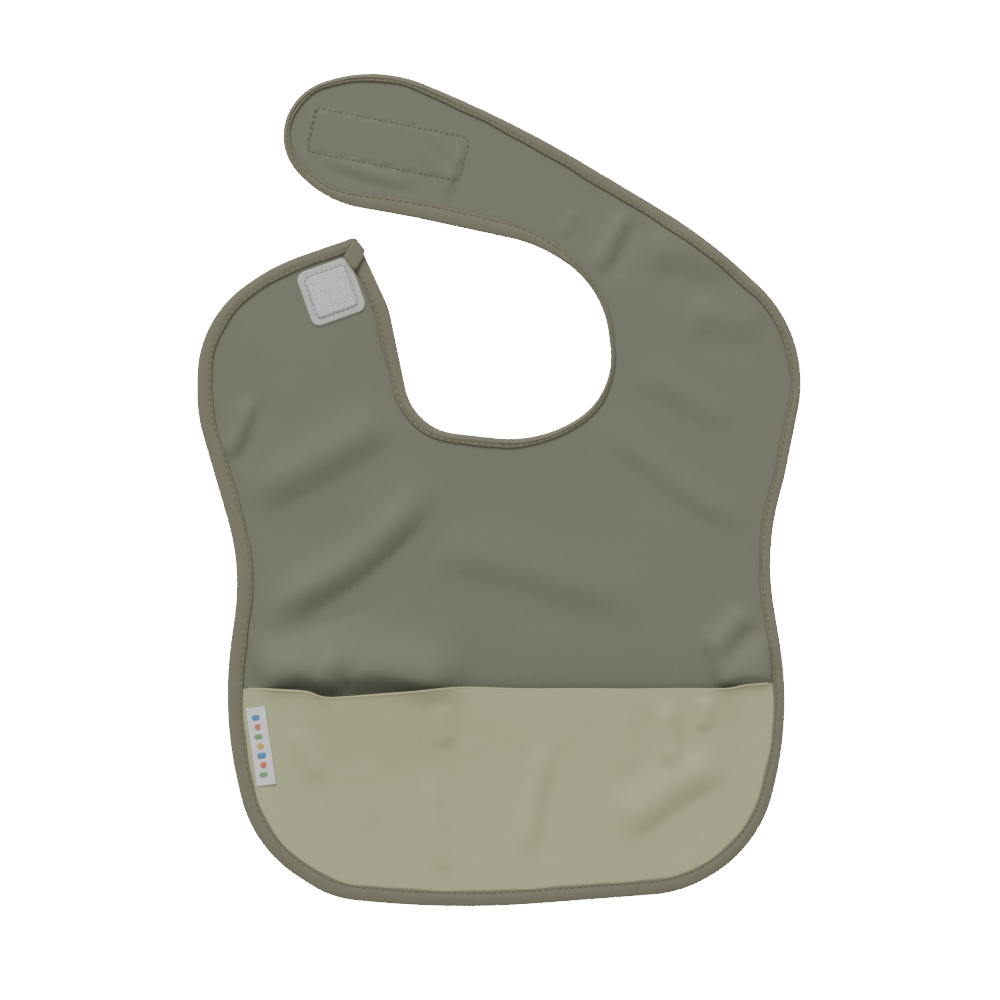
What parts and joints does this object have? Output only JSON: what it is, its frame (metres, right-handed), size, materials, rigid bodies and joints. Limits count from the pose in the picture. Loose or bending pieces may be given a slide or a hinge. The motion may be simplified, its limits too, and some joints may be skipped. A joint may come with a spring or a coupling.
{
  "type": "baby bib",
  "caption": "Fabric baby bib with a neck strap that fastens with a hook-and-loop patch, bound edges and a crumb-catcher pocket across the bottom.",
  "frame": {"origin": "bottom centre of the bib's bounding box, on the surface that the bib lies on", "axes": "+X to the right seen from the front with the strap at the top, +Y from the hem towards the neck strap, +Z out of the front of the bib"},
  "size_m": [0.2656, 0.366, 0.0108],
  "materials": {
    "body_fabric": "olive-grey woven polyester with a thin waterproof film on its back, matt front",
    "binding_tape": "olive folded bias binding, fine weave, matt",
    "pocket_fabric": "pale sage woven polyester with a thin waterproof film inside, soft sheen",
    "body_thread": "olive polyester sewing thread",
    "patch_thread": "pale grey-lilac polyester sewing thread",
    "loop_tape": "white nylon loop pile on a woven backing",
    "hook_tape": "white nylon hook tape with rows of small moulded hooks",
    "label_tape": null
  },
  "bodies": {
    "chest": {"chest_panel": "body_fabric", "chest_outer_binding": "binding_tape", "chest_outer_binding_thread": "body_thread", "chest_neck_binding": "binding_tape", "chest_neck_binding_thread": "body_thread", "pocket_margin": "pocket_fabric"},
    "tab": {"tab_panel": "body_fabric", "tab_binding": "binding_tape", "tab_binding_thread": "body_thread", "binding_end": "binding_tape", "loop_patch": "loop_tape", "loop_patch_thread": "patch_thread"},
    "shoulder": {"shoulder_panel": "body_fabric", "shoulder_outer_binding": "binding_tape", "shoulder_outer_binding_thread": "body_thread", "shoulder_neck_binding": "binding_tape", "shoulder_neck_binding_thread": "body_thread"},
    "strap": {"strap_panel": "body_fabric", "strap_outer_binding": "binding_tape", "strap_outer_binding_thread": "body_thread", "strap_neck_binding": "binding_tape", "strap_neck_binding_thread": "body_thread"},
    "strap_end": {"strap_end_panel": "body_fabric", "strap_end_binding": "binding_tape", "strap_end_binding_thread": "body_thread", "hook_patch": "hook_tape", "hook_patch_thread": "body_thread"},
    "pocket": {"pocket_front": "pocket_fabric"},
    "label": {"label_tag": "label_tape"}
  },
  "joints": [
    {"name": "tab_fold", "type": "hinge", "parent": "chest", "child": "tab", "pos_m": [0.00323, 0.06598, 0], "axis": [-0.9272, -0.3746, 0], "range_deg": [0, 105]},
    {"name": "shoulder_fold", "type": "hinge", "parent": "chest", "child": "shoulder", "pos_m": [0.00323, 0.06598, 0], "axis": [-0.9272, 0.3746, 0], "range_deg": [0, 100]},
    {"name": "strap_fold", "type": "hinge", "parent": "shoulder", "child": "strap", "pos_m": [0.05323, 0.10798, 0], "axis": [-0.6018, -0.7986, 0], "range_deg": [0, 20]},
    {"name": "strap_end_fold", "type": "hinge", "parent": "strap", "child": "strap_end", "pos_m": [-0.00177, 0.13798, 0], "axis": [-0.2588, -0.9659, 0], "range_deg": [0, 20]},
    {"name": "pocket_open", "type": "hinge", "parent": "chest", "child": "pocket", "pos_m": [0.00323, -0.16652, 0.0013], "axis": [1, 0, 0], "range_deg": [0, 14]},
    {"name": "label_flip", "type": "hinge", "parent": "chest", "child": "label", "pos_m": [-0.11195, -0.09602, 0.0019], "axis": [0.1434, -0.9897, 0], "range_deg": [0, 100]}
  ]
}
